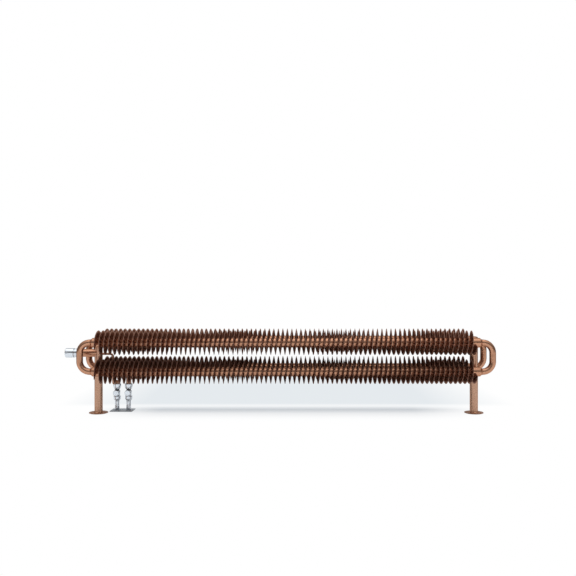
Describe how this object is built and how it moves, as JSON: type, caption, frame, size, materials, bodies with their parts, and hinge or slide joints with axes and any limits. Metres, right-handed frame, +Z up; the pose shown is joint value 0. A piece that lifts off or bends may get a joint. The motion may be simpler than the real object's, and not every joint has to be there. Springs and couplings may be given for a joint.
{
  "type": "spiral-fin radiator",
  "caption": "Low freestanding radiator of horizontal tubes wound with spiral ribbons, on two round legs with disc feet, with a thermostatic head and two in-line floor valves.",
  "frame": {"origin": "centre of the underside of the left foot, on the floor", "axes": "+X along the radiator away from the thermostatic head, +Y to the back where the floor valves are, +Z up"},
  "size_m": [1.8064, 0.2378, 0.355],
  "materials": {
    "copper_lacquer": "satin copper-coloured metallic lacquer on steel pipe",
    "fin_lacquer": "satin copper-coloured metallic lacquer on steel ribbon, darker where the fins shade each other",
    "chrome": "polished chrome plate",
    "plate_metal": "satin grey floor plate",
    "brass": "machined brass",
    "steel": "plain stainless steel",
    "copper_pipe": null,
    "pad_rubber": "thin black pad under each foot"
  },
  "bodies": {
    "frame": {"tube_front_upper": "copper_lacquer", "tube_front_lower": "copper_lacquer", "tube_rear_upper": "copper_lacquer", "tube_rear_lower": "copper_lacquer", "fin_front_upper": "fin_lacquer", "fin_front_lower": "fin_lacquer", "fin_rear_upper": "fin_lacquer", "fin_rear_lower_left": "fin_lacquer", "fin_rear_lower_right": "fin_lacquer", "bend_front_left": "copper_lacquer", "bend_front_right": "copper_lacquer", "bend_rear_left": "copper_lacquer", "bend_rear_right": "copper_lacquer", "leg_left": "copper_lacquer", "leg_cap_left": "copper_lacquer", "foot_left": "copper_lacquer", "foot_pad_left": "pad_rubber", "stub_front_upper_left": "copper_lacquer", "stub_front_lower_left": "copper_lacquer", "stub_rear_upper_left": "copper_lacquer", "stub_rear_lower_left": "copper_lacquer", "leg_right": "copper_lacquer", "leg_cap_right": "copper_lacquer", "foot_right": "copper_lacquer", "foot_pad_right": "pad_rubber", "stub_front_upper_right": "copper_lacquer", "stub_front_lower_right": "copper_lacquer", "stub_rear_upper_right": "copper_lacquer", "stub_rear_lower_right": "copper_lacquer", "valve_housing": "copper_lacquer", "link_pipe": "copper_lacquer", "supply_stub": "copper_lacquer", "return_riser": "copper_lacquer", "vent_boss": "copper_lacquer", "valve_insert": "brass", "pin_spring": "steel", "union_collar": "chrome", "head_ring": "chrome", "supply_upper_nut": "chrome", "supply_body": "chrome", "supply_lower_nut": "chrome", "supply_sleeve": "chrome", "supply_olive": "brass", "supply_pipe": "copper_pipe", "return_upper_nut": "chrome", "return_body": "chrome", "return_lower_nut": "chrome", "return_sleeve": "chrome", "return_olive": "brass", "return_pipe": "copper_pipe"},
    "head": {"head_knob": "chrome", "sensor_element": "brass"},
    "pin": {"valve_pin": "steel"},
    "supply_turner": {"supply_ball": "steel", "supply_cap": "chrome"},
    "return_turner": {"return_ball": "steel", "return_cap": "chrome"},
    "vent": {"vent_screw": "brass"},
    "plate": {"floor_plate": "plate_metal"}
  },
  "joints": [
    {"name": "head_turn", "type": "hinge", "parent": "frame", "child": "head", "pos_m": [-0.123, 0, 0.2555], "axis": [1, 0, 0], "range_deg": [-145, 145]},
    {"name": "pin_slide", "type": "slide", "parent": "frame", "child": "pin", "axis": [1, 0, 0], "range_m": [-0.0011, 0.0011]},
    {"name": "supply_turn", "type": "hinge", "parent": "frame", "child": "supply_turner", "pos_m": [0.062, 0.045, 0.0775], "axis": [0, 1, 0], "range_deg": [0, 90]},
    {"name": "return_turn", "type": "hinge", "parent": "frame", "child": "return_turner", "pos_m": [0.112, 0.045, 0.0775], "axis": [0, 1, 0], "range_deg": [0, 90]},
    {"name": "vent_turn", "type": "hinge", "parent": "frame", "child": "vent", "pos_m": [1.591, 0.1, 0.304], "axis": [0, 1, 0], "range_deg": [0, 270]},
    {"name": "plate_lift", "type": "slide", "parent": "frame", "child": "plate", "axis": [0, 0, 1], "range_m": [0, 0.038]}
  ],
  "couplings": [
    {"joint": "pin_slide", "follows": "head_turn", "m_per_rad": 0.00039514}
  ]
}
